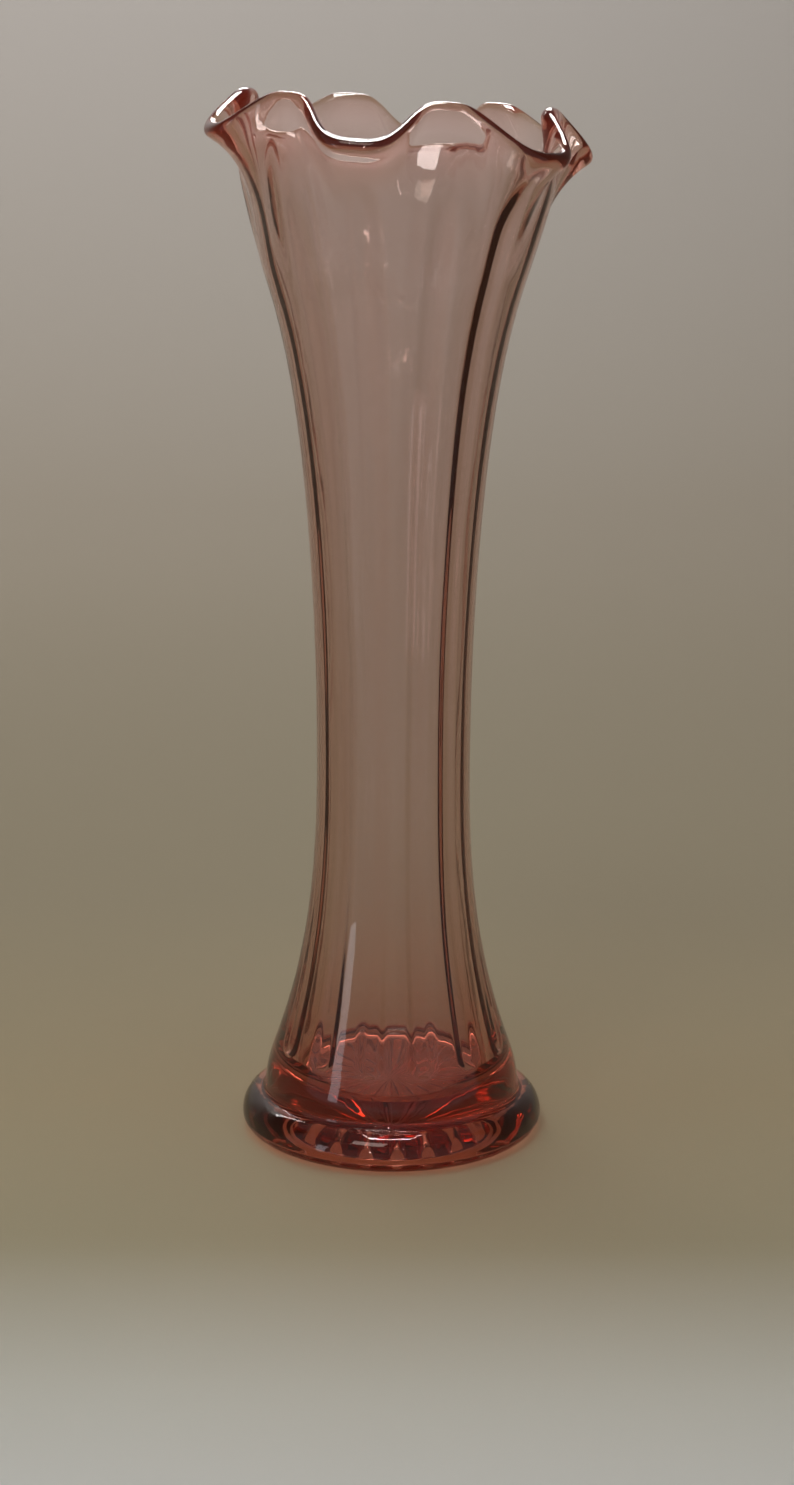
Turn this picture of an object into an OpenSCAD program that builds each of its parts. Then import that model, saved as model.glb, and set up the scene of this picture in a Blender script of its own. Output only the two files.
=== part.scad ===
// Pressed glass bud vase: a star-pressed foot, a bell-shaped base, a ribbed neck
// and a crimped, ruffled mouth.
// The origin is the centre of the ring that the vase rests on. +Z runs up the axis
// and -Y is the front. Angles are counted from +X towards +Y.

/* [Foot] */
// Diameter of the foot at its widest
foot_d = 70; // [66:1:76]
// Height of the foot, up to the collar where the body starts
foot_h = 9; // [8:0.5:11]
// Height at which the foot is widest
foot_wide_z = 3.2; // [2.5:0.1:4]
// Outer diameter of the ring that the vase rests on
rest_d = 62; // [60:0.5:63]
// Inner diameter of that ring, where a bevel starts
bevel_d = 56.6; // [55:0.2:58]
// Diameter of the shallow hollow inside the bevel
hollow_d = 50; // [50:0.5:54]
// Depth of the hollow
hollow_h = 0.9; // [0.7:0.1:1.2]

/* [Star under the foot] */
// Number of rays
rays = 24; // [20:1:30]
// Width of a ray at its outer end
ray_w = 3.4; // [3:0.1:4.4]
// Depth of a ray at its outer end
ray_h = 0.9; // [0.6:0.1:1.5]
// Distance from the axis to the outer end of a ray
ray_out = 24.7; // [23.5:0.1:24.7]
// Distance from the axis to the inner end of a ray
ray_in = 3; // [2:0.5:6]

/* [Body] */
// Diameter of the collar, where the bell-shaped base meets the foot
collar_d = 59.2; // [58:0.1:59.6]
// Diameter of the waist
waist_d = 35; // [33:0.5:38]
// Height of the waist
waist_z = 90; // [85:1:95]
// How far the bell swells past the waist, in radius
bell_swell = 10.3; // [9:0.1:11]
// Thickness of the wall at the waist and above
wall = 2.7; // [2.2:0.1:3]
// Extra thickness of the wall where it meets the floor
wall_swell = 2.8; // [2:0.1:3.6]
// Height of the floor inside the vase
floor_z = 12.5; // [11:0.5:14]

/* [Ribs inside the wall] */
// Number of ribs
ribs = 12; // [12:12:12]
// How far a rib stands out of the inner wall at the waist and above
rib_h = 0.5; // [0.3:0.1:0.8]
// How much further it stands out where the wall meets the floor
rib_swell = 0.2; // [0:0.1:0.5]

/* [Mouth] */
// Height at which the crimping starts
mouth_z = 196; // [192:1:200]
// Number of crimps round the mouth
crimps = 6; // [6:6:6]
// Radius of the rim where a crimp is bent out and down
low_r = 42.4; // [40:0.2:43]
// Radius of the rim between two crimps
high_r = 35.4; // [34:0.2:37]
// Height of the rim where a crimp is bent out and down
low_z = 222.9; // [220:0.1:225]
// Height of the rim between two crimps
high_z = 232.8; // [230:0.1:236]
// How much the rim dips on its low side
dip = 2.6; // [0:0.1:3]
// Extra thickness of the bead that fire-polishing leaves along the rim
bead = 0.9; // [0:0.1:1]

/* [Hidden] */

GLASS = [0.82, 0.52, 0.47, 0.55];

// The first crimp and the first rib lie at this angle
phase = 18;
// The rim dips towards this angle
dip_at = -12;
// Facets round the wall: six for each rib
facets = 6 * ribs;
facet_deg = 360 / facets;

foot_r = foot_d / 2;
rest_r = rest_d / 2;
collar_r = collar_d / 2;
waist_r = waist_d / 2;

// The bell and the flare are powers of the distance from the waist
bell_h = 71;
bell_power = 2.63;
flare_h = 118;
flare_slow = 9.9;
flare_fast = 6;
// The bell turns in to the collar over about this radius
turn_in = 0.8;
// The floor curves up into the wall over this much radius and this much height
fillet_r = 2.2;
fillet_h = 5.5;

// Heights of the rings of facets
bell_z = [9, 13, 17, 22, 28, 35, 44, 55, 70, waist_z];
fillet_deg = [20, 55, 90];
neck_z = [waist_z, 110, 127, 142, 155, 166, 176, 184, 190.5, mouth_z];
mouth_s = [0, 0.2, 0.4, 0.58, 0.75, 0.88, 0.95, 1];

// ---- the wall's outline -------------------------------------------------

function below(z) = max(0, waist_z - z) / bell_h;
function above(z) = max(0, z - waist_z) / flare_h;

// The smaller of two radii, with the corner between them rounded off
function soft_min(a, b, k) = -k * ln(exp(-a / k) + exp(-b / k));

// Outer radius of the wall at a height
function bell_r(z) = waist_r + bell_swell * pow(below(z), bell_power);
function flare_r(z) = waist_r + flare_slow * pow(above(z), 2) + flare_fast * pow(above(z), 6);
function outer_r(z) = z < waist_z ? soft_min(bell_r(z), collar_r, turn_in) : flare_r(z);

// Thickness of the wall at a height
function wall_at(z) = wall + wall_swell * pow(below(z), 4);

// 1 on the crest of a rib, falling softly to 0 between the ribs
function rib_at(a) = pow((1 + cos(ribs * (a - phase))) / 2, 2);

function inner_r(z, a) = outer_r(z) - wall_at(z) - (rib_h + rib_swell * pow(below(z), 2)) * rib_at(a);

function at(r, a, z) = [r * cos(a), r * sin(a), z];
function angles() = [for (k = [0 : facets - 1]) k * facet_deg];

function outer_ring(z) = [for (a = angles()) at(outer_r(z), a, z)];
function inner_ring(z) = [for (a = angles()) at(inner_r(z, a), a, z)];

// The quarter ellipse between the wall and the floor, by its angle from the wall
function fillet_ring(q) = let (z = floor_z + fillet_h * (1 - sin(q)), pull = fillet_r * (1 - cos(q)))
    [for (a = angles()) at(inner_r(floor_z + fillet_h, a) - pull, a, z)];

// ---- the crimped mouth --------------------------------------------------

// 1 where a crimp is bent out and down, -1 between two crimps, with both ends flat
function crimp(a) = let (p = crimps * (a - phase)) (cos(p) - 0.1 * cos(3 * p)) / 0.9;

function mix(a, b, t) = a + (b - a) * t;
function sag(a) = cos(a - dip_at);
function rim_r(a) = mix(high_r, low_r, (1 + crimp(a)) / 2) + 0.55 * sag(a) * (1 + crimp(a));
function rim_z(a) = mix(high_z, low_z, (1 + crimp(a)) / 2) - sag(a) * (dip + 0.65 * crimp(a));

// Slope of the wall, as radius over height, where the crimping starts
slope_0 = (flare_r(mouth_z) - flare_r(mouth_z - 0.1)) / 0.1;

// A Hermite curve in radius and height, from the top of the neck to the rim
function hermite(p, m, q, n, s) = p * (2 * pow(s, 3) - 3 * pow(s, 2) + 1) + m * (pow(s, 3) - 2 * pow(s, 2) + s)
    + q * (3 * pow(s, 2) - 2 * pow(s, 3)) + n * (pow(s, 3) - pow(s, 2));
function lip(a, s) = let (run = rim_z(a) - mouth_z, slope_1 = 0.6 + 0.7 * crimp(a))
    hermite([outer_r(mouth_z), mouth_z], run * [slope_0, 1],
            [rim_r(a), rim_z(a)], 0.9 * run * [slope_1, 1 - 0.25 * crimp(a)], s);

// The direction across the wall, inwards: level at the neck and square to the curve at the rim
function unit(v) = v / norm(v);
function square_to(a, s) = let (d = lip(a, s) - lip(a, s - 0.02)) unit([-d[1], d[0]]);
function across(a, s) = s == 0 ? [-1, 0] : unit(mix([-1, 0], square_to(a, s), s));

// Thickness of the lip: the ribs die away and the bead grows towards the rim
function lip_wall(a, s) = wall + rib_h * rib_at(a) * (1 - s) + bead * pow(s, 12);

// A ring of the mouth, this share of the way through the wall
function mouth_ring(s, depth) = [for (a = angles())
    let (p = lip(a, s) + depth * lip_wall(a, s) * across(a, s)) at(p[0], a, p[1])];

// A ring on the rounded edge of the rim, at this angle from its outer side
function edge_ring(q) = [for (a = angles())
    let (n = across(a, 1), half = lip_wall(a, 1) / 2, p = lip(a, 1) + half * (1 - cos(q)) * n
        + half * sin(q) * [n[1], -n[0]]) at(p[0], a, p[1])];

// ---- solids from rings of points ----------------------------------------

function reversed(list) = [for (i = [len(list) - 1 : -1 : 0]) list[i]];

// Two triangles for each step round the strip between ring i and ring j
function strip(i, j, n) = [for (k = [0 : n - 1]) let (a = i * n + k, b = i * n + (k + 1) % n,
    c = j * n + (k + 1) % n, d = j * n + k) each [[a, d, c], [a, c, b]]];

// Rings that run up the outside and down the inside. Open at the bottom, they close
// on themselves; otherwise a flat face closes the first ring and another the last.
module turned_wall(rings, open) {
    n = len(rings[0]);
    m = len(rings);
    strips = [for (i = [0 : m - 2]) each strip(i, i + 1, n)];
    under = [for (k = [0 : n - 1]) k];
    inside = [for (k = [n - 1 : -1 : 0]) (m - 1) * n + k];
    ends = open ? strip(m - 1, 0, n) : [under, inside];
    polyhedron(points = [for (r = rings) each r], faces = concat(strips, ends), convexity = 6);
}

// ---- the parts ----------------------------------------------------------

// Quarter of an ellipse about a centre, from one angle to another
function arc(c, rx, ry, from, to, steps) = [for (i = [0 : steps])
    let (q = mix(from, to, i / steps)) [c[0] + rx * cos(q), c[1] + ry * sin(q)]];

// A ray is the top of a cone whose axis leaves the centre at a slant
module star_ray() {
    ray_r = (pow(ray_w / 2, 2) + pow(ray_h, 2)) / (2 * ray_h);
    sunk = ray_r - ray_h;
    slant = norm([ray_out, sunk]);
    start = slant * ray_in / ray_out;
    translate([0, 0, hollow_h])
        rotate([0, 90 + atan(sunk / ray_out), 0])
            translate([0, 0, start])
                cylinder(h = slant - start, r1 = ray_r * ray_in / ray_out, r2 = ray_r, $fn = 24);
}

// Solid pressed disc with a rounded edge, a ring to rest on and a star under it
module star_foot() {
    edge_low = arc([rest_r, foot_wide_z], foot_r - rest_r, foot_wide_z, -90, 0, 6);
    edge_top = arc([collar_r, foot_wide_z], foot_r - collar_r, foot_h - foot_wide_z, 9, 90, 9);
    hollow = [[0, hollow_h], [hollow_d / 2, hollow_h], [hollow_d / 2, hollow_h / 2], [bevel_d / 2, 0]];
    color(GLASS)
        difference() {
            rotate_extrude($fn = 120)
                polygon(concat(hollow, edge_low, edge_top, [[0, foot_h]]));
            for (i = [0 : rays - 1])
                rotate(i * 360 / rays)
                    star_ray();
        }
}

// Thick-walled bell with a solid floor, from the collar up to the waist
module bell_base() {
    outside = [for (z = bell_z) outer_ring(z)];
    wall_z = [for (z = reversed(bell_z)) if (z > floor_z + fillet_h + 1) z];
    inside = [for (z = wall_z) inner_ring(z)];
    into_floor = [for (q = fillet_deg) fillet_ring(q)];
    color(GLASS)
        turned_wall(concat(outside, inside, into_floor), false);
}

// Ribbed wall from the waist up to where the crimping starts
module ribbed_neck() {
    outside = [for (z = neck_z) outer_ring(z)];
    inside = [for (z = reversed(neck_z)) inner_ring(z)];
    color(GLASS)
        turned_wall(concat(outside, inside), true);
}

// Flared mouth with its crimped and rounded rim
module ruffled_mouth() {
    outside = [for (s = mouth_s) mouth_ring(s, 0)];
    inside = [for (s = reversed(mouth_s)) mouth_ring(s, 1)];
    color(GLASS)
        turned_wall(concat(outside, [edge_ring(60), edge_ring(120)], inside), true);
}

star_foot();
bell_base();
ribbed_neck();
ruffled_mouth();
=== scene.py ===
# %% [markdown]
# # A pressed glass bud vase
#
# The real vase is one piece of rose-pink glass. A press makes the foot, with a star under it, and a
# thick ribbed cup. The hot cup is then swung, which draws out the narrow waist, and its mouth is
# flared, crimped into six ruffles and rounded in a flame.
#
# Glass shows both of its surfaces at once, and everything that is seen through it is bent by both.
# So the whole vase is made here as one closed skin: under the foot, up the outside, over the rim,
# down the inside and across the floor. Separate touching pieces would show false walls inside.

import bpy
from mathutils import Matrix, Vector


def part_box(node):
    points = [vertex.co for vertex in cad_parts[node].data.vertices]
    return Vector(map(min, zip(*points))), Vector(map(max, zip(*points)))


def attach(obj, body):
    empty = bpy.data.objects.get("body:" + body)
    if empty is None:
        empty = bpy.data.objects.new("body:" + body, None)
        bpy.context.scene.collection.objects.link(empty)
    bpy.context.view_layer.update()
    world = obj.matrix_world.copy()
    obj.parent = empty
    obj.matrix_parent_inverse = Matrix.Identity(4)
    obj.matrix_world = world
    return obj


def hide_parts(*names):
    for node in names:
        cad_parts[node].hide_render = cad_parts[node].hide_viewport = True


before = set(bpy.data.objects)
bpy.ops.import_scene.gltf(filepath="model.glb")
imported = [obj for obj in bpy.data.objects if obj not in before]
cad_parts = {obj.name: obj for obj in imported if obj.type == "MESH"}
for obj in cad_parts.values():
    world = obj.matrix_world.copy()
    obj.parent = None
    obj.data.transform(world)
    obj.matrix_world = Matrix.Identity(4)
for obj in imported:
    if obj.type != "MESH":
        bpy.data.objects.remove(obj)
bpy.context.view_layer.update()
print("nodes:", sorted(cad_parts))

# %% [markdown]
# ## Tools and units
#
# Blender works in metres and a glassmaker in millimetres, so one factor turns one into the other.
# Soft changes of shape come up again and again in hot glass, and one smooth step serves for them all.

import bpy
import numpy as np
from mathutils import Matrix

MM = 0.001
TURN = 2 * np.pi


def smooth_step(low, high, x):
    """0 below low, 1 above high, and in between 3t^2 - 2t^3, which starts and ends level."""
    t = np.clip((x - low) / (high - low), 0, 1)
    return t * t * (3 - 2 * t)


def mix(a, b, t):
    """The value a share t of the way from a to b."""
    return a + (b - a) * t


print("a smooth step at its quarters:", smooth_step(0, 1, np.array([0.25, 0.5, 0.75])))

# %% [markdown]
# ## Driving sizes
#
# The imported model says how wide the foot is, where the collar and the waist are, and where the
# crimping starts. They could be typed in again here, but reading them from the frame keeps the skin
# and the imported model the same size. The other sizes are a glassmaker's: wall, ribs, rays of the star.
# Lengths in the shaping of the glass are in millimetres, and become metres only when the mesh is made.

# %% Sizes from the frame, in millimetres
foot_high = np.array(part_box("star_foot")[1]) / MM
neck_low, neck_high = (np.array(corner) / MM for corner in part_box("ribbed_neck"))
FOOT_R = foot_high[0]
COLLAR_Z = foot_high[2]
WAIST_Z = neck_low[2]
MOUTH_Z = neck_high[2]
print(f"foot {2 * FOOT_R:.1f} mm wide, collar at {COLLAR_Z:.1f}")
print(f"waist at {WAIST_Z:.1f}, mouth from {MOUTH_Z:.1f}")

# The first crimp and the first rib are at PHASE, and the rim dips towards DIP_AT.
PHASE = np.radians(18)
DIP_AT = np.radians(-12)

# Forty steps for each of the twelve ribs, and twenty for each ray of the star.
STEPS_ROUND = 480
theta = np.arange(STEPS_ROUND) * TURN / STEPS_ROUND
print(f"{STEPS_ROUND} steps round, {TURN * FOOT_R / STEPS_ROUND:.2f} mm apart at the foot's edge")

# %% [markdown]
# ## The wall's outline
#
# Swinging draws hot glass out most at the waist, and less the further it is from there. The outline
# could be a spline through many points, but powers of the distance from the waist draw it with a few
# numbers and leave no wobble: a bell below the waist and a flare above it. The bell turns in to the
# collar through a soft minimum, which is a minimum with its corner rounded off. The wall is even
# where the glass was stretched, and thickens towards the floor, where it stayed as it was pressed.

# %% The outline of the wall
COLLAR_R = 29.6
WAIST_R = 17.5
BELL_HEIGHT = 71
BELL_SWELL = 10.3
BELL_POWER = 2.63
TURN_IN = 0.8
FLARE_HEIGHT = 118
FLARE_SLOW = 9.9
FLARE_FAST = 6.0
WALL = 2.7
WALL_SWELL = 2.8


def below(z):
    """Distance below the waist as a share of the bell's height, and 0 above the waist."""
    return np.maximum(0, WAIST_Z - z) / BELL_HEIGHT


def above(z):
    """Distance above the waist as a share of the flare's height, and 0 below the waist."""
    return np.maximum(0, z - WAIST_Z) / FLARE_HEIGHT


def outer_radius(z):
    """Waist radius, plus a power of the distance below it or two powers of the distance above it."""
    bell = WAIST_R + BELL_SWELL * below(z)**BELL_POWER
    turned = -TURN_IN * np.log(np.exp(-bell / TURN_IN) + np.exp(-COLLAR_R / TURN_IN))
    flare = WAIST_R + FLARE_SLOW * above(z)**2 + FLARE_FAST * above(z)**6
    return np.where(z < WAIST_Z, turned, flare)


def wall_thickness(z):
    """The wall at the waist, plus the fourth power of the distance below it."""
    return WALL + WALL_SWELL * below(z)**4


heights = np.array([20.0, 60, 120, 180])
print("outer radius at 20, 60, 120, 180 mm:", outer_radius(heights).round(1))
print("wall at 20, 60, 120, 180 mm:", wall_thickness(heights).round(1))

# %% [markdown]
# ## Ribs
#
# The plunger of the press has twelve grooves, so twelve ribs run up the inside of the wall. Glass
# shows a rib as a dark upright line, by bending what is behind it. A bump texture doesn't bend light
# that well, so the ribs are real shapes in the mesh. A rib is a ridge with a narrow flat top, soft
# sides and round ends: its height depends only on how far a point is from the line down its middle.
# It is highest near the foot, where it was stretched the least, and spreads into a broad soft wave
# towards the mouth. The hot glass sagged a little too, so some ribs are bolder than others.

# %% Height of the ribs
RIBS = 12
RIB_LOW = 21.0
RIB_HIGH = 207.0
RIB_FADE = 0.35
RIB_H = 0.5
RIB_SWELL = 0.2
RIB_HALF = 0.4
RIB_HALF_SWELL = 0.9
RIB_SIDE = 2.4
RIB_SIDE_SPREAD = 1.2
SPREAD_LOW, SPREAD_HIGH = 130, 190
BOLD_RIB = np.radians(-42)
UNEVEN = 0.4


def around(angle, count):
    """The angle from the nearest of `count` evenly spaced lines, the first of which is at PHASE."""
    step = TURN / count
    return (angle - PHASE + step / 2) % step - step / 2


def rib_height(angle, z, radius):
    """Full height within half a width of the rib's middle line, falling to 0 over its soft side."""
    low = np.minimum(1, below(z))
    sideways = radius * around(angle, RIBS)
    past_end = np.maximum(0, RIB_LOW - z) + RIB_FADE * np.maximum(0, z - RIB_HIGH)
    away = np.hypot(sideways, past_end)
    half = RIB_HALF + RIB_HALF_SWELL * low**2
    side = RIB_SIDE + RIB_SIDE_SPREAD * smooth_step(SPREAD_LOW, SPREAD_HIGH, z)
    uneven = 1 + UNEVEN * (1 - low) * np.cos(2 * (angle - BOLD_RIB))
    full = (RIB_H + RIB_SWELL * low**2) * uneven
    return full * (1 - smooth_step(half, half + side, away))


crests = PHASE + TURN / RIBS * np.arange(3)
print("three ribs at 120 mm stand out by:", rib_height(crests, np.full(3, 120.0), 15).round(2))

# %% [markdown]
# ## The crimped rim
#
# A crimping tool bends the rim out and down at six places. The rim could be pushed about by hand in
# sculpting, but one wave round the vase keeps the six crimps alike, as the tool does. The wave is a
# cosine with a little of its third harmonic taken off, which flattens both its top and its bottom.
# Hand work is never even, so the rim dips a little to one side.

# %% The line of the rim
CRIMPS = 6
FLATTEN = 0.1
RIM_OUT_R, RIM_IN_R = 42.4, 35.4
RIM_OUT_Z, RIM_IN_Z = 222.9, 232.8
DIP = 2.6
DIP_MORE = 0.65
DIP_OUT = 0.55


def crimp(angle):
    """1 where the rim is bent out and down, -1 half way between two such places."""
    wave = CRIMPS * (angle - PHASE)
    return (np.cos(wave) - FLATTEN * np.cos(3 * wave)) / (1 - FLATTEN)


def rim_line(angle):
    """Radius and height of the rim's outer edge: two mixes by the crimp, and a cosine for the dip."""
    c = crimp(angle)
    sag = np.cos(angle - DIP_AT)
    radius = mix(RIM_IN_R, RIM_OUT_R, (1 + c) / 2) + DIP_OUT * sag * (1 + c)
    height = mix(RIM_IN_Z, RIM_OUT_Z, (1 + c) / 2) - sag * (DIP + DIP_MORE * c)
    return radius, height


rim_r, rim_z = rim_line(theta)
print(f"the rim is {rim_r.min():.1f} to {rim_r.max():.1f} mm out")
print(f"and {rim_z.min():.1f} to {rim_z.max():.1f} mm up")

# %% [markdown]
# ## The flare up to the rim
#
# Between the neck and the rim the hot wall sags outwards in one smooth sweep, further at a crimp
# than between two. A Hermite curve is given by its two ends and the direction that it leaves each in,
# so it can start in line with the neck and still end on the crimped rim. The wall's thickness is
# measured level at the neck and square to the curve at the rim, so it stays the same round the fold.

# %% The flare and the direction across its wall
RIM_PULL = 0.9
RIM_LEAN, RIM_LEAN_MORE = 0.6, 0.7
RIM_RISE_LESS = 0.25


def lip(angle, s):
    """A Hermite curve in radius and height, from the top of the neck, s = 0, to the rim, s = 1. The
    ends are shared out by 2s^3 - 3s^2 + 1, and the directions by s^3 - 2s^2 + s and s^3 - s^2."""
    c = crimp(angle)
    end_r, end_z = rim_line(angle)
    run = end_z - MOUTH_Z
    start_r = float(outer_radius(np.array(MOUTH_Z)))
    slope = (start_r - float(outer_radius(np.array(MOUTH_Z - 0.1)))) / 0.1
    leave = 2 * s**3 - 3 * s**2 + 1
    turn_0 = s**3 - 2 * s**2 + s
    turn_1 = (s**3 - s**2) * RIM_PULL
    radius = leave * start_r + turn_0 * slope * run + (1 - leave) * end_r
    height = leave * MOUTH_Z + turn_0 * run + (1 - leave) * end_z
    lean = turn_1 * run * (RIM_LEAN + RIM_LEAN_MORE * c)
    rise = turn_1 * run * (1 - RIM_RISE_LESS * c)
    return radius + lean, height + rise


def across_wall(angle, s):
    """The direction through the wall in radius and height: level at the neck, square at the rim, and
    in between a mix of the two, brought back to a length of 1."""
    r1, z1 = lip(angle, s)
    r0, z0 = lip(angle, s - 0.01)
    length = np.hypot(r1 - r0, z1 - z0)
    square = np.stack([-(z1 - z0) / length, (r1 - r0) / length])
    level = np.stack([-np.ones_like(length), np.zeros_like(length)])
    mixed = mix(level, square, smooth_step(0, 0.5, s))
    return mixed / np.hypot(*mixed)


half_way = lip(np.array([PHASE, PHASE + TURN / CRIMPS / 2]), 0.5)
print("half way up, at a crimp and between two:", np.round(half_way, 1).tolist())

# %% [markdown]
# ## Under the foot
#
# The press leaves a shallow hollow under the foot, with a star of rays in it. The rays could be cut
# with a Boolean, but a height for each point of a grid gives an even mesh, and glass shows every
# uneven face. A ray is the top of a cone with its tip at the centre, so it widens and deepens
# outwards, and it ends in a steep face.
#
# This and every later stretch of the skin is a function of two parameters on a grid: how far along
# the stretch, and the angle round the vase. It gives a radius and a height for each point.

# %% Under the foot
RAYS = 24
RAY_OUT = 24.7
RAY_WIDE = 3.4
RAY_DEEP = 0.9
RAY_END = 0.2
HOLLOW = 0.9
RAY_R = ((RAY_WIDE / 2) ** 2 + RAY_DEEP**2) / (2 * RAY_DEEP)
RAY_SINK = RAY_R - RAY_DEEP


def along(points):
    """A column of values that broadcasts against the row of angles."""
    return np.asarray(points, float)[:, None] + 0 * theta


def under_foot():
    """The hollow's depth, plus how far a circle that grows with the radius reaches above it."""
    out_to_ends = np.linspace(1.2, RAY_OUT - RAY_END, 14)
    over_ends = RAY_OUT + np.linspace(-RAY_END / 2, RAY_END, 4)
    rho = along(np.concatenate([out_to_ends, over_ends, [24.95]]))
    out = rho / RAY_OUT
    sideways = rho * around(theta[None, :], RAYS)
    cone = np.sqrt(np.maximum(0, (RAY_R * out) ** 2 - sideways**2)) - RAY_SINK * out
    not_ended = 1 - smooth_step(RAY_OUT - RAY_END, RAY_OUT + RAY_END, rho)
    return rho, HOLLOW + np.maximum(0, cone) * not_ended


print(f"{RAYS} rays, each the top of a circle {2 * RAY_R:.1f} mm wide at its outer end")

# %% [markdown]
# ## The edge of the foot
#
# The vase rests on a narrow flat ring, so that it stands steady on an uneven table. Inside the ring a
# low bevel leads to the hollow. Outside it the edge is full and round, as a mould leaves it. A Bevel
# modifier could round it with part of a circle, but the real edge is fuller above than below, so two
# quarter ellipses draw it, a low one below the widest place and a tall one above it.

# %% The edge of the foot
REST_R = 31
FOOT_WIDE_Z = 3.2
TOP_ENDS_AT = 84


def foot_edge():
    """The hollow's edge and bevel as listed points, then centre plus radius times cosine and sine,
    twice.
    """
    hollow = np.array([[25.0, 0.86], [25.03, 0.7], [25.06, 0.52], [25.2, 0.44]])
    bevel = np.array([[27.9, 0.06], [28.6, 0.02], [30.3, 0.0]])
    low = np.radians(np.linspace(-90, 0, 8))
    top = np.radians(np.linspace(0, TOP_ENDS_AT, 13))[1:]
    edge_low = np.stack([REST_R + (FOOT_R - REST_R) * np.cos(low),
                         FOOT_WIDE_Z + FOOT_WIDE_Z * np.sin(low)], 1)
    edge_top = np.stack([COLLAR_R + (FOOT_R - COLLAR_R) * np.cos(top),
                         FOOT_WIDE_Z + (COLLAR_Z - FOOT_WIDE_Z) * np.sin(top)], 1)
    r, z = np.concatenate([hollow, bevel, edge_low, edge_top]).T
    return along(r), along(z)


print(f"the edge runs from {foot_edge()[0].min():.1f} to {foot_edge()[0].max():.1f} mm out")

# %% [markdown]
# ## The outside of the wall and of the lip
#
# The outer wall is smooth, because the mould is smooth: only the plunger has grooves. Its outline is
# turned round the axis, as a Screw modifier would do it, and the lip takes over where the crimping
# starts. A small fillet fills the corner where the wall stands on the foot. The rings are close
# together near the foot, where the outline bends most.

# %% The outside of the wall and the lip
CORNER = 0.5
CORNER_LOW, CORNER_HIGH = 9.0, 10.4


def outside():
    """The outline, plus the square of a smooth step that fills the corner at the foot."""
    in_corner = [9.25, 9.6, 10.2]
    bell = np.linspace(11, 38, 16)
    rest = np.linspace(41, MOUTH_Z, 29)
    z = along(np.concatenate([in_corner, bell, rest]))
    fillet = CORNER * (1 - smooth_step(CORNER_LOW, CORNER_HIGH, z)) ** 2
    return outer_radius(z) + fillet, z


def mouth_outside():
    """The lip's outer side, in twenty equal steps of its curve."""
    return lip(theta[None, :], along(np.linspace(0, 1, 21)[1:]))


print("rings on the wall and the lip:", len(outside()[0]), len(mouth_outside()[0]))

# %% [markdown]
# ## The rounded rim and the inside of the lip
#
# Fire-polishing melts the cut edge until it draws itself into a round bead, a little thicker than
# the wall. Its round top catches the light as one white line, so it needs a true half circle and not
# a chamfer. The lip's inner side is the outer side moved through the wall, with the ribs still on it.

# %% The rim and the inside of the lip
BEAD = 0.9
BEAD_FROM, BEAD_TO = 0.84, 0.98


def bead(s):
    """How much thicker the flame has made the last few millimetres of the lip: a smooth step."""
    return BEAD * smooth_step(BEAD_FROM, BEAD_TO, s)


def rim_edge():
    """Half a circle over the rim: its middle, less the cosine across the wall, plus the sine
    outwards along the lip."""
    q = along(np.radians(np.linspace(0, 180, 13)[1:-1]))
    r, z = lip(theta[None, :], along([1.0]))
    n = across_wall(theta[None, :], along([1.0]))
    half = (WALL + bead(1.0)) / 2
    middle_r, middle_z = r + half * n[0], z + half * n[1]
    out_r, out_z = n[1], -n[0]
    return (middle_r - half * np.cos(q) * n[0] + half * np.sin(q) * out_r,
            middle_z - half * np.cos(q) * n[1] + half * np.sin(q) * out_z)


def mouth_inside():
    """The lip's inner side: the outer side moved through the wall."""
    s = along(np.linspace(1, 0, 21)[:-1])
    r, z = lip(theta[None, :], s)
    n = across_wall(theta[None, :], s)
    thick = WALL + bead(s) + rib_height(theta[None, :], z, r - WALL)
    return r + thick * n[0], z + thick * n[1]


print(f"the bead is {WALL + bead(1.0):.1f} mm thick, with {len(rim_edge()[0])} rings over it")

# %% [markdown]
# ## The inside of the wall and the floor
#
# The inner wall carries the ribs. No tool touched it after the swing, so it wanders by a tenth of a
# millimetre or so. Noise would leave lumps, and two slow waves that twist round as they rise leave
# the soft bends that old glass shows. At the bottom the wall curves into the floor, because a
# plunger with a sharp corner would crack the glass. A tall quarter ellipse draws that curve.

# %% The inside of the wall and the floor
FLOOR_Z = 12.5
FILLET_R = 2.2
FILLET_Z = 5.5
FILLET_TOP = FLOOR_Z + FILLET_Z
WANDER_FROM, WANDER_FULL = 30, 70

# Height of each wave, number of waves round the vase, and rise of the wave for each radian.
WAVES = ((0.10, 3, 17), (0.06, 5, -11))


def inside():
    """The outer radius less the wall and the rib, plus sines of the angle and the height."""
    z = along(np.concatenate([np.linspace(MOUTH_Z, 27, 34), np.linspace(25, FILLET_TOP + 0.2, 13)]))
    r = outer_radius(z) - wall_thickness(z)
    wave = sum(size * np.sin(count * theta + z / rise) for size, count, rise in WAVES)
    wave = wave * smooth_step(WANDER_FROM, WANDER_FULL, z)
    return r + wave - rib_height(theta[None, :], z, r), z


def inner_floor():
    """A quarter of a tall ellipse from the wall into the floor, and the level floor."""
    q = np.radians(np.linspace(0, 90, 9))
    start = float(outer_radius(np.array(FILLET_TOP)) - wall_thickness(FILLET_TOP))
    curved = start - FILLET_R * (1 - np.cos(q))
    level = np.linspace(start - FILLET_R, 0.8, 5)[1:]
    r = np.concatenate([curved, level])
    z = np.concatenate([FILLET_TOP - FILLET_Z * np.sin(q), np.full(4, FLOOR_Z)])
    return along(r), along(z)


print(f"the floor inside is {2 * inner_floor()[0][0, 0]:.1f} mm across where it meets the wall")

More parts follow.
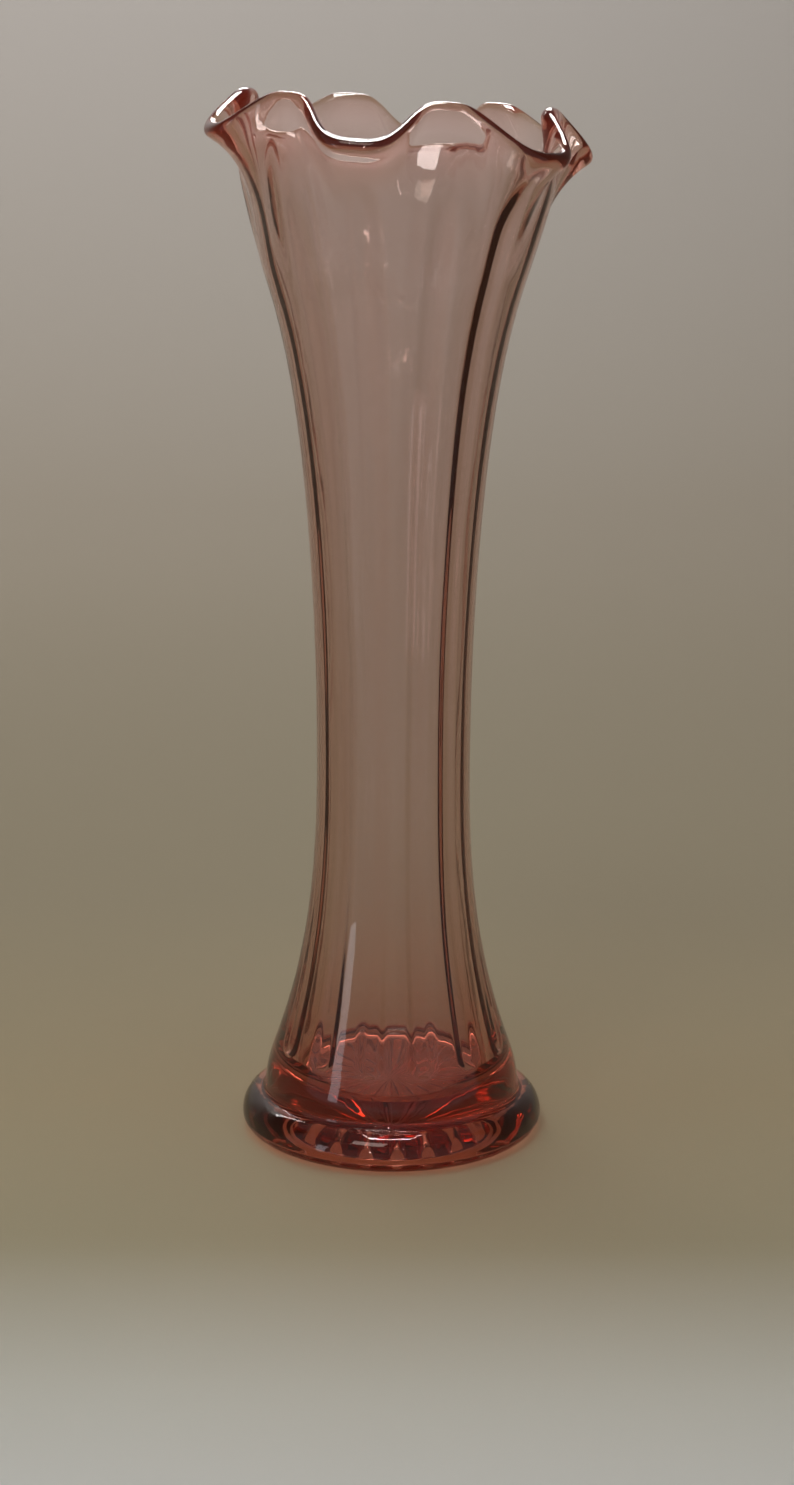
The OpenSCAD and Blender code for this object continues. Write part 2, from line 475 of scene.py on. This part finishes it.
# %% [markdown]
# ## One closed mesh
#
# The stretches are stacked into one grid. Every step of the grid is a quad, and the two ends of the
# grid, in the middle of the underside and in the middle of the floor, close in a fan round a point.
# Cycles needs a closed mesh with its faces outwards, to know where the glass is. The volume, worked
# out from the faces, is positive only if that is so, and says how much glass there is.

# %% Stack the stretches and make the mesh
def volume(points, faces):
    """Sum over fan triangles of a . (b x c) / 6, positive when the faces point outwards."""
    total = 0.0
    for size in (3, 4):
        picked = np.array([f for f in faces if len(f) == size])
        for k in range(1, size - 1):
            a, b, c = points[picked[:, 0]], points[picked[:, k]], points[picked[:, k + 1]]
            total += np.einsum("ij,ij->i", a, np.cross(b, c)).sum() / 6
    return total


def add_mesh(name, points, faces):
    """A smooth-shaded object with these points and faces."""
    mesh = bpy.data.meshes.new(name)
    mesh.from_pydata(points.tolist(), [], faces)
    mesh.polygons.foreach_set("use_smooth", np.ones(len(faces), bool))
    mesh.update()
    piece = bpy.data.objects.new(name, mesh)
    bpy.context.collection.objects.link(piece)
    return piece


def closed_skin(name, stretches):
    """Stacks the stretches into one grid of quads, with a fan of triangles round each pole."""
    r = np.concatenate([s[0] for s in stretches])
    z = np.concatenate([s[1] for s in stretches])
    rings, steps = r.shape
    grid = np.stack([r * np.cos(theta), r * np.sin(theta), z], -1).reshape(-1, 3)
    poles = np.array([[0, 0, z[0].mean()], [0, 0, z[-1].mean()]])
    points = np.concatenate([grid, poles]) * MM

    here = np.arange(steps)
    beside = np.roll(here, -1)
    ring = np.arange(rings - 1)[:, None] * steps
    quads = np.stack([ring + here, ring + beside, ring + steps + beside, ring + steps + here], -1)
    first, last = rings * steps, rings * steps + 1
    top = (rings - 1) * steps
    start_fan = np.stack([np.full(steps, first), beside, here], -1)
    end_fan = np.stack([np.full(steps, last), top + here, top + beside], -1)
    faces = quads.reshape(-1, 4).tolist() + start_fan.tolist() + end_fan.tolist()
    print(f"{name}: {rings} rings of {steps}, {2 * quads.size // 4 + 2 * steps} triangles")
    print(f"{name}: {volume(points, faces) * 1e6:.1f} cm3 of glass")
    return add_mesh(name, points, faces)


vase = closed_skin("vase_glass", [under_foot(), foot_edge(), outside(), mouth_outside(), rim_edge(),
                                  mouth_inside(), inside(), inner_floor()])
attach(vase, "root")
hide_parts("star_foot", "bell_base", "ribbed_neck", "ruffled_mouth")

# %% [markdown]
# ## Helpers for materials
#
# Colours are given as sRGB hex values, which is how a paint chart gives them, and Blender's sockets
# want linear light. One function turns one into the other, and another adds a node with its settings
# and links, so that each material below reads as a list of what it is made of.

# %% Material helpers
def linear(hex_colour):
    """An sRGB hex colour as linear RGBA: c / 12.92 near black, else ((c + 0.055) / 1.055) ^ 2.4."""
    c = np.array([int(hex_colour[i:i + 2], 16) for i in (1, 3, 5)]) / 255
    return (*np.where(c <= 0.04045, c / 12.92, ((c + 0.055) / 1.055) ** 2.4), 1.0)


def add_node(tree, kind, settings=None, **inputs):
    """Adds a node, sets its attributes, and sets or links its inputs by name."""
    node = tree.nodes.new(kind)
    for key, value in (settings or {}).items():
        setattr(node, key, value)
    for key, value in inputs.items():
        socket = node.inputs[key.replace("_", " ")]
        if isinstance(value, bpy.types.NodeSocket):
            tree.links.new(value, socket)
        else:
            socket.default_value = value
    return node


def new_material(name):
    """An empty node material and its tree."""
    material = bpy.data.materials.new(name)
    material.use_nodes = True
    material.node_tree.nodes.clear()
    return material, material.node_tree


print("mid grey in linear light:", np.round(linear("#808080")[:3], 3))

# %% [markdown]
# ## Rose-pink soda-lime glass
#
# Pressed and fire-polished glass has an index of about 1.52 and almost no roughness. Its pink is in
# the body of the glass, not on its surface: each millimetre takes away a little green and blue, so a
# thin wall is pale pink and the thick foot is a deep brownish red. A tinted surface would colour the
# foot no more than the thin wall, so the tint is a Volume Absorption.
#
# Two more things stand for light that Cycles doesn't follow. Light goes round and round in a thick
# edge and leaves it red. The number of bounces is limited, so such an edge would turn black, and a
# very weak red emission, stronger near the rim, gives that light back. And a ray to a lamp can't be
# bent, so clear glass would throw a shadow as dark as a brick's. For those rays the glass is a pale
# filter, which lets light reach the table under the foot and makes the star show.

# %% The glass
GLASS_IOR = 1.52
GLASS_TINT = "#e59e7a"
TINT_PER_METRE = 112.0

# The waves that swinging leaves are about 6 mm wide and, drawn out upwards, 50 mm long. The dull
# marks of hands are about as wide as a thumb.
SWING_WAVE = 6.25 * MM
DRAWN_OUT = 0.12
WAVE_DEPTH = 0.4 * MM
HAND_MARK = 22.2 * MM

GLOW_LOW, GLOW_RIM = 0.0028, 0.024
GLOW_FROM, GLOW_TO = 212 * MM, 232 * MM


def rose_pressed_glass():
    """Clear glass, tinted in its body, with long soft waves that make its highlights run upright.
    Where it was handled it is a touch duller, so that no highlight is quite even."""
    material, tree = new_material("rose_pressed_glass")
    place = add_node(tree, "ShaderNodeTexCoord").outputs["Object"]
    drawn = add_node(tree, "ShaderNodeMapping", Vector=place, Scale=(1.0, 1.0, DRAWN_OUT))
    waves = add_node(tree, "ShaderNodeTexNoise", Vector=drawn.outputs["Vector"],
                     Scale=1 / SWING_WAVE, Detail=2.0)
    bump = add_node(tree, "ShaderNodeBump", Height=waves.outputs["Fac"], Strength=0.25,
                    Distance=WAVE_DEPTH)
    marks = add_node(tree, "ShaderNodeTexNoise", Vector=place, Scale=1 / HAND_MARK, Detail=4.0)
    rough = add_node(tree, "ShaderNodeMapRange", Value=marks.outputs["Fac"], To_Min=0.0, To_Max=0.03)
    up = add_node(tree, "ShaderNodeSeparateXYZ", Vector=place)
    glow = add_node(tree, "ShaderNodeMapRange", {"interpolation_type": "SMOOTHSTEP"},
                    Value=up.outputs["Z"], From_Min=GLOW_FROM, From_Max=GLOW_TO,
                    To_Min=GLOW_LOW, To_Max=GLOW_RIM)
    # The surface's slight grey is painted shade: it darkens everything seen through the glass a little.
    glass = add_node(tree, "ShaderNodeBsdfPrincipled", Base_Color=linear("#f5f5f5"), IOR=GLASS_IOR,
                     Transmission_Weight=1.0, Roughness=rough.outputs["Result"],
                     Normal=bump.outputs["Normal"], Emission_Color=linear("#ff6a50"),
                     Emission_Strength=glow.outputs["Result"])
    tint = add_node(tree, "ShaderNodeVolumeAbsorption", Color=linear(GLASS_TINT),
                    Density=TINT_PER_METRE)
    pale_filter = add_node(tree, "ShaderNodeBsdfTransparent", Color=linear("#d6d3d1"))
    path = add_node(tree, "ShaderNodeLightPath")
    surface = add_node(tree, "ShaderNodeMixShader", Fac=path.outputs["Is Shadow Ray"])
    tree.links.new(glass.outputs["BSDF"], surface.inputs[1])
    tree.links.new(pale_filter.outputs["BSDF"], surface.inputs[2])
    add_node(tree, "ShaderNodeOutputMaterial", Surface=surface.outputs["Shader"],
             Volume=tint.outputs["Volume"])
    return material


vase.data.materials.append(rose_pressed_glass())
left = np.exp(-(1 - np.array(linear(GLASS_TINT)[:3])) * TINT_PER_METRE * 2 * WALL * MM)
print("red, green and blue left after two thin walls:", left.round(2))

# %% [markdown]
# ## The studio's floor and wall
#
# Glass has no look of its own without something to bend and reflect. A plane and a wall would meet
# in a line that the vase bends into dark hooks, so the pale table runs back and up into a far wall in
# one cove. It goes all the way round, and the vase can be looked at from any side.

# %% Floor and backdrop
FLAT_TO = 0.75
COVE_CURVE = 0.9
STUDIO_HEIGHT = 2.0
STUDIO_STEPS = 96


def cove():
    """Profile of a round studio in metres: level floor, a quarter circle, then a wall."""
    q = np.radians(np.linspace(0, 90, 25))[1:]
    flat = np.linspace(0.02, FLAT_TO, 12)
    r = np.concatenate([flat, FLAT_TO + COVE_CURVE * np.sin(q), [FLAT_TO + COVE_CURVE]])
    z = np.concatenate([0 * flat, COVE_CURVE * (1 - np.cos(q)), [STUDIO_HEIGHT]])
    return r, z


def studio():
    """The profile turned round the Z axis, with a small disc in the middle."""
    r, z = cove()
    here = np.arange(STUDIO_STEPS)
    turn = here * TURN / STUDIO_STEPS
    grid = np.stack([np.outer(r, np.cos(turn)), np.outer(r, np.sin(turn)), z[:, None] + 0 * turn], -1)
    beside = np.roll(here, -1)
    ring = np.arange(len(r) - 1)[:, None] * STUDIO_STEPS
    next_ring = ring + STUDIO_STEPS
    quads = np.stack([ring + here, next_ring + here, next_ring + beside, ring + beside], -1)
    return add_mesh("studio_floor", grid.reshape(-1, 3), quads.reshape(-1, 4).tolist() + [here.tolist()])


floor = studio()
print("studio faces:", len(floor.data.polygons))

# %% [markdown]
# ## Painted board
#
# The table and the wall are board with matt emulsion paint. One colour would leave the glass with
# nothing to bend, so a ramp along Y paints light and shade into the board's colour: it is pale and
# cool along the front, where the light falls, warm in the middle, and greyer and darker towards the
# wall, where shade falls. The glass picks these shades up. The paint has no gloss at all: even a
# faint sheen at this low angle lays a white veil over the table and hides the tint.

# %% The board
BOARD_FRONT, BOARD_BACK = -0.2, 1.6
# Painted light and shade along Y: paler where the light falls at the front, darker towards the wall.
BOARD_PAINTED_LIGHT_AND_SHADE = ((0.033, "#d6d9d3"), (0.072, "#aea890"), (0.12, "#afa58b"), (0.21, "#a8a08c"),
                (0.61, "#a8a195"))
PAINT_GRAIN = 1.11 * MM


def matt_painted_board():
    """Dull paint with a roller's fine grain and no highlight, its colour a ramp of painted light and
    shade.
    """
    material, tree = new_material("matt_painted_board")
    place = add_node(tree, "ShaderNodeTexCoord").outputs["Object"]
    back = add_node(tree, "ShaderNodeSeparateXYZ", Vector=place)
    share = add_node(tree, "ShaderNodeMapRange", Value=back.outputs["Y"], From_Min=BOARD_FRONT,
                     From_Max=BOARD_BACK)
    shade = add_node(tree, "ShaderNodeValToRGB", Fac=share.outputs["Result"])
    shade.color_ramp.elements[0].color = linear("#e8edef")
    shade.color_ramp.elements[1].color = linear("#b7b5b4")
    for stop, colour in BOARD_PAINTED_LIGHT_AND_SHADE:
        shade.color_ramp.elements.new(stop).color = linear(colour)
    grain = add_node(tree, "ShaderNodeTexNoise", Vector=place, Scale=1 / PAINT_GRAIN, Detail=3.0)
    bump = add_node(tree, "ShaderNodeBump", Height=grain.outputs["Fac"], Strength=0.05,
                    Distance=0.3 * MM)
    board = add_node(tree, "ShaderNodeBsdfPrincipled", Base_Color=shade.outputs["Color"],
                     Roughness=0.9, Specular_IOR_Level=0.0, Normal=bump.outputs["Normal"])
    add_node(tree, "ShaderNodeOutputMaterial", Surface=board.outputs["BSDF"])
    return material


floor.data.materials.append(matt_painted_board())
print("board:", floor.data.materials[0].name, "with", len(BOARD_PAINTED_LIGHT_AND_SHADE) + 2, "shades")

# %% [markdown]
# ## Lights
#
# A glass object is lit by what it mirrors and by what is behind it, more than by what falls on it.
# So the lamps have different jobs, and the ray visibility of each keeps it to its own job:
#
# - A soft key in front, a fill overhead and a washer on the wall behind light the board.
# - A low window at the left draws the tall pale streak down the bell.
# - Two soft boxes, above and behind, draw the white line along the rim.
# - Four small far lamps leave the little sparkles.

# %% A lamp that faces a point
AT_MOUTH = (0, 0, 0.2)
AT_WAIST = (0, 0, 0.1)


def area_light(name, place, aim, size, watts, colour="#ffffff", hidden_from=()):
    """A rectangular soft light. Its axes are the line from its aim, a level side, and their cross."""
    lamp = bpy.data.lights.new(name, "AREA")
    lamp.shape = "RECTANGLE"
    lamp.size, lamp.size_y = size
    lamp.energy = watts
    lamp.color = linear(colour)[:3]
    light = bpy.data.objects.new(name, lamp)
    light.visible_camera = False
    for ray in hidden_from:
        setattr(light, "visible_" + ray, False)
    bpy.context.collection.objects.link(light)
    back = np.array(place, float) - np.array(aim, float)
    back /= np.linalg.norm(back)
    side = np.cross([0, 0, 1] if abs(back[2]) < 0.99 else [0, 1, 0], back)
    side /= np.linalg.norm(side)
    turn = np.eye(4)
    turn[:3, :3] = np.stack([side, np.cross(back, side), back], 1)
    turn[:3, 3] = place
    light.matrix_world = Matrix(turn.tolist())
    return light


# %% [markdown]
# ### Lamps that light the board
#
# Three wide lamps, because a wide lamp's shadows are soft. The fill is hidden from the glass, where
# its reflection would lie like a sheet of paper across the flare.

# %% Key, washer and fill
area_light("key_softbox", (-0.25, -0.55, 0.95), AT_WAIST, (0.4, 0.3), 1.2, "#fff6ec")
area_light("wall_washer", (-0.5, 1.15, 1.3), (-0.5, 1.6, 0.5), (1.4, 0.3), 10.5, "#fffaf8")
area_light("ceiling_fill", (-0.2, 0.1, 1.5), (0, 0.05, 0), (1.0, 1.0), 5.0, "#fffcf8",
           hidden_from=("glossy", "transmission"))

print("lamps on the board:", len(bpy.data.lights))

# %% [markdown]
# ### Lamps that the glass mirrors
#
# The window, the soft boxes and the far lamps are bright shapes for the glass to reflect. They are
# hidden from diffuse rays, so that none of them leaves a pool of light on the table.

# %% Window, soft boxes and far lamps
area_light("window", (-0.56, -0.42, 0.13), AT_WAIST, (0.11, 0.3), 0.22, "#f2f6ff",
           hidden_from=("diffuse",))
area_light("top_softbox", (0.0, 0.03, 0.52), AT_MOUTH, (0.16, 0.2), 2.6,
           hidden_from=("diffuse", "transmission"))
area_light("back_softbox", (0.0, 1.25, 1.0), AT_MOUTH, (0.5, 0.5), 7.0,
           hidden_from=("diffuse", "transmission"))
FAR_LAMPS = ((-0.30, -1.15, 0.50), (-0.05, -1.15, 0.52), (0.2, -1.1, 0.9), (-0.5, -0.8, 1.2))
for k, place in enumerate(FAR_LAMPS):
    area_light(f"far_lamp_{k}", place, AT_MOUTH, (0.018, 0.045), 0.4, hidden_from=("diffuse",))
print("lamps in all:", len(bpy.data.lights))

# %% [markdown]
# ## The room's own light
#
# Past the lamps the room is dim and a little warm. One more big lamp could stand for it, but a World
# colour fills the shadows from every side and has no edge that the glass could mirror.

# %% World
world = bpy.data.worlds.new("dim_room")
world.use_nodes = True
background = world.node_tree.nodes["Background"]
background.inputs["Color"].default_value = linear("#cfc8be")
background.inputs["Strength"].default_value = 0.35
bpy.context.scene.world = world
print("world strength:", background.inputs["Strength"].default_value)

# %% [markdown]
# ## Camera
#
# The camera stands in front of the vase, level with its rim, and looks down enough to show the star
# under the floor of the vase through its wall. The Standard view transform leaves the pale board and
# the pink of the glass as they were mixed, where a filmic one would grey them.

# %% Camera
CAMERA_AT = (0.0008, -0.587, 0.2329)
CAMERA_TILT = np.radians(13.55)
CAMERA_ROLL = np.radians(0.35)

lens = bpy.data.cameras.new("camera")
lens.sensor_width = 36
lens.lens = 64.2
lens.clip_start = 0.02
camera = bpy.data.objects.new("camera", lens)
bpy.context.collection.objects.link(camera)
camera.matrix_world = (Matrix.Translation(CAMERA_AT)
                       @ Matrix.Rotation(np.pi / 2 - CAMERA_TILT, 4, "X")
                       @ Matrix.Rotation(CAMERA_ROLL, 4, "Z"))
bpy.context.scene.camera = camera
bpy.context.scene.view_settings.view_transform = "Standard"
print("camera at", CAMERA_AT, "with a", lens.lens, "mm lens")
